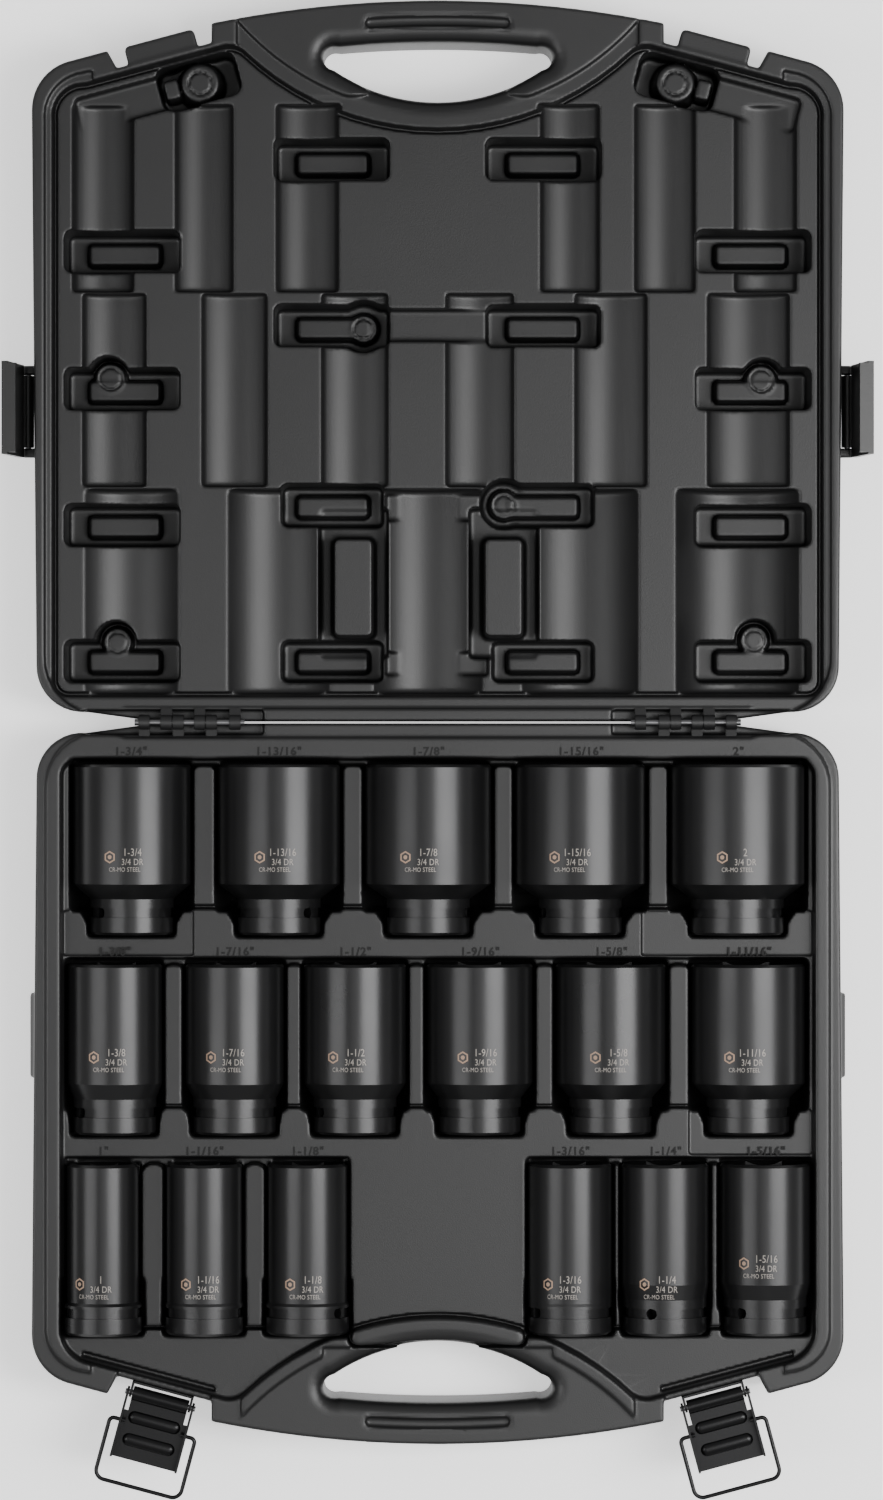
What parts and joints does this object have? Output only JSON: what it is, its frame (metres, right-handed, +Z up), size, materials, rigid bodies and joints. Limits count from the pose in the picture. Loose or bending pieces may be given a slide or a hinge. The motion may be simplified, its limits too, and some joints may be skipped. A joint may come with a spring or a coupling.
{
  "type": "socket wrench set in case",
  "caption": "Deep impact sockets lying in rows in a black blow-moulded case, opened flat, with a hinged lid, two draw latches with wire bails, side clips and an arched carrying handle.",
  "frame": {"origin": "middle of the flat underside of the case's base half (under its middle in X, 191 mm from the hinge line in Y)", "axes": "+Z up out of the open case; +Y from the base half towards the lid half; +X to the right, seen from the base's handle"},
  "size_m": [0.4586, 0.7918, 0.076],
  "materials": {
    "case_plastic": "fine leather-like moulded grain",
    "clip_plastic": "smooth moulded",
    "socket_black": "black oxide, satin",
    "latch_metal": "black coated steel",
    "pin_steel": "bright"
  },
  "bodies": {
    "base": {"base_shell": "case_plastic", "hinge_pin_left": "pin_steel", "hinge_pin_right": "pin_steel", "latch_bracket_left": "latch_metal", "latch_bracket_right": "latch_metal", "latch_rivets_left": "pin_steel", "latch_rivets_right": "pin_steel", "lever_pin_left": "pin_steel", "lever_pin_right": "pin_steel"},
    "lid": {"lid_shell": "case_plastic", "clip_pin_left": "pin_steel", "clip_pin_right": "pin_steel"},
    "lever_left": {"latch_lever_left": "latch_metal"},
    "bail_left": {"latch_bail_left": "latch_metal"},
    "clip_left": {"side_clip_left": "clip_plastic"},
    "lever_right": {"latch_lever_right": "latch_metal"},
    "bail_right": {"latch_bail_right": "latch_metal"},
    "clip_right": {"side_clip_right": "clip_plastic"},
    "socket_1_3_4in": {"socket_1_3_4in": "socket_black"},
    "socket_1_13_16in": {"socket_1_13_16in": "socket_black"},
    "socket_1_7_8in": {"socket_1_7_8in": "socket_black"},
    "socket_1_15_16in": {"socket_1_15_16in": "socket_black"},
    "socket_2in": {"socket_2in": "socket_black"},
    "socket_1_3_8in": {"socket_1_3_8in": "socket_black"},
    "socket_1_7_16in": {"socket_1_7_16in": "socket_black"},
    "socket_1_1_2in": {"socket_1_1_2in": "socket_black"},
    "socket_1_9_16in": {"socket_1_9_16in": "socket_black"},
    "socket_1_5_8in": {"socket_1_5_8in": "socket_black"},
    "socket_1_11_16in": {"socket_1_11_16in": "socket_black"},
    "socket_1in": {"socket_1in": "socket_black"},
    "socket_1_1_16in": {"socket_1_1_16in": "socket_black"},
    "socket_1_1_8in": {"socket_1_1_8in": "socket_black"},
    "socket_1_3_16in": {"socket_1_3_16in": "socket_black"},
    "socket_1_1_4in": {"socket_1_1_4in": "socket_black"},
    "socket_1_5_16in": {"socket_1_5_16in": "socket_black"}
  },
  "joints": [
    {"name": "lid_hinge", "type": "hinge", "parent": "base", "child": "lid", "pos_m": [0, 0.191, 0.05025], "axis": [-1, 0, 0], "range_deg": [-180, 0]},
    {"name": "lever_left_hinge", "type": "hinge", "parent": "base", "child": "lever_left", "pos_m": [-0.1466, -0.16715, 0.0459], "axis": [-0.9659, 0.2588, 0], "range_deg": [-90, 20]},
    {"name": "bail_left_hinge", "type": "hinge", "parent": "lever_left", "child": "bail_left", "pos_m": [-0.15049, -0.18164, 0.0479], "axis": [0.9659, -0.2588, 0], "range_deg": [-180, 0]},
    {"name": "lever_right_hinge", "type": "hinge", "parent": "base", "child": "lever_right", "pos_m": [0.1466, -0.16715, 0.0459], "axis": [-0.9659, -0.2588, 0], "range_deg": [-90, 20]},
    {"name": "bail_right_hinge", "type": "hinge", "parent": "lever_right", "child": "bail_right", "pos_m": [0.15049, -0.18164, 0.0479], "axis": [0.9659, 0.2588, 0], "range_deg": [-180, 0]},
    {"name": "clip_left_hinge", "type": "hinge", "parent": "lid", "child": "clip_left", "pos_m": [-0.21816, 0.3565, 0.02], "axis": [0, -1, 0], "range_deg": [-9, 60]},
    {"name": "clip_right_hinge", "type": "hinge", "parent": "lid", "child": "clip_right", "pos_m": [0.21816, 0.3565, 0.02], "axis": [0, 1, 0], "range_deg": [-9, 60]},
    {"name": "socket_1_3_4in_lift", "type": "slide", "parent": "base", "child": "socket_1_3_4in", "axis": [0, 0, 1], "range_m": [0, 0.11]},
    {"name": "socket_1_13_16in_lift", "type": "slide", "parent": "base", "child": "socket_1_13_16in", "axis": [0, 0, 1], "range_m": [0, 0.11]},
    {"name": "socket_1_7_8in_lift", "type": "slide", "parent": "base", "child": "socket_1_7_8in", "axis": [0, 0, 1], "range_m": [0, 0.11]},
    {"name": "socket_1_15_16in_lift", "type": "slide", "parent": "base", "child": "socket_1_15_16in", "axis": [0, 0, 1], "range_m": [0, 0.11]},
    {"name": "socket_2in_lift", "type": "slide", "parent": "base", "child": "socket_2in", "axis": [0, 0, 1], "range_m": [0, 0.11]},
    {"name": "socket_1_3_8in_lift", "type": "slide", "parent": "base", "child": "socket_1_3_8in", "axis": [0, 0, 1], "range_m": [0, 0.11]},
    {"name": "socket_1_7_16in_lift", "type": "slide", "parent": "base", "child": "socket_1_7_16in", "axis": [0, 0, 1], "range_m": [0, 0.11]},
    {"name": "socket_1_1_2in_lift", "type": "slide", "parent": "base", "child": "socket_1_1_2in", "axis": [0, 0, 1], "range_m": [0, 0.11]},
    {"name": "socket_1_9_16in_lift", "type": "slide", "parent": "base", "child": "socket_1_9_16in", "axis": [0, 0, 1], "range_m": [0, 0.11]},
    {"name": "socket_1_5_8in_lift", "type": "slide", "parent": "base", "child": "socket_1_5_8in", "axis": [0, 0, 1], "range_m": [0, 0.11]},
    {"name": "socket_1_11_16in_lift", "type": "slide", "parent": "base", "child": "socket_1_11_16in", "axis": [0, 0, 1], "range_m": [0, 0.11]},
    {"name": "socket_1in_lift", "type": "slide", "parent": "base", "child": "socket_1in", "axis": [0, 0, 1], "range_m": [0, 0.11]},
    {"name": "socket_1_1_16in_lift", "type": "slide", "parent": "base", "child": "socket_1_1_16in", "axis": [0, 0, 1], "range_m": [0, 0.11]},
    {"name": "socket_1_1_8in_lift", "type": "slide", "parent": "base", "child": "socket_1_1_8in", "axis": [0, 0, 1], "range_m": [0, 0.11]},
    {"name": "socket_1_3_16in_lift", "type": "slide", "parent": "base", "child": "socket_1_3_16in", "axis": [0, 0, 1], "range_m": [0, 0.11]},
    {"name": "socket_1_1_4in_lift", "type": "slide", "parent": "base", "child": "socket_1_1_4in", "axis": [0, 0, 1], "range_m": [0, 0.11]},
    {"name": "socket_1_5_16in_lift", "type": "slide", "parent": "base", "child": "socket_1_5_16in", "axis": [0, 0, 1], "range_m": [0, 0.11]}
  ]
}
